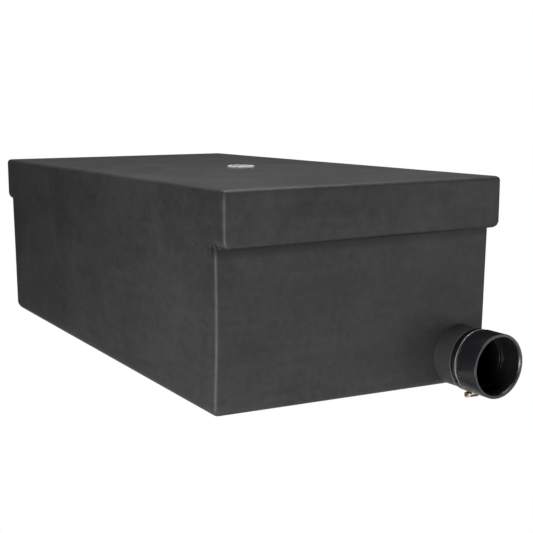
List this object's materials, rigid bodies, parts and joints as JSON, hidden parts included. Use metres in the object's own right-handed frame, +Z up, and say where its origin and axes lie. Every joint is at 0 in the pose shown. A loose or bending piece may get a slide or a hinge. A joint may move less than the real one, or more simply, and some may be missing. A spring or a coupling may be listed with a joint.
{
  "type": "water holding tank",
  "caption": "Hung moulded water tank: hollow box body with overhanging end lips, a sloping floor, a threaded top port and a pipe hub clamped into a moulded spout.",
  "frame": {"origin": "middle of the whole object's box in X and Y, at the height of its lowest point, which is the underside of the clamp's worm housing", "axes": "+Z up with the tank's top level, as it hangs by its lips; +Y along the tank away from the outlet end; +X across the tank towards the corner that the outlet is in"},
  "size_m": [0.5, 0.9606, 0.3478],
  "materials": {
    "shell_polyethylene": "matte moulded",
    "port_plastic": "natural satin",
    "seal_rubber": "matte",
    "hub_plastic": "gloss",
    "clamp_steel": "rolled",
    "screw_steel": "zinc plated"
  },
  "bodies": {
    "tank": {"tank_shell": "shell_polyethylene", "top_port_fitting": "port_plastic", "outlet_seal": "seal_rubber", "clamp_band": "clamp_steel", "clamp_saddle": "clamp_steel", "clamp_housing": "clamp_steel"},
    "hub": {"outlet_hub": "hub_plastic"},
    "screw": {"clamp_screw": "screw_steel"}
  },
  "joints": [
    {"name": "hub_pull", "type": "slide", "parent": "tank", "child": "hub", "axis": [0, -1, 0], "range_m": [0, 0.045]},
    {"name": "screw_turn", "type": "hinge", "parent": "tank", "child": "screw", "pos_m": [0.19168, -0.43075, 0.00523], "axis": [-0.9976, 0, 0.0698], "continuous": true}
  ]
}
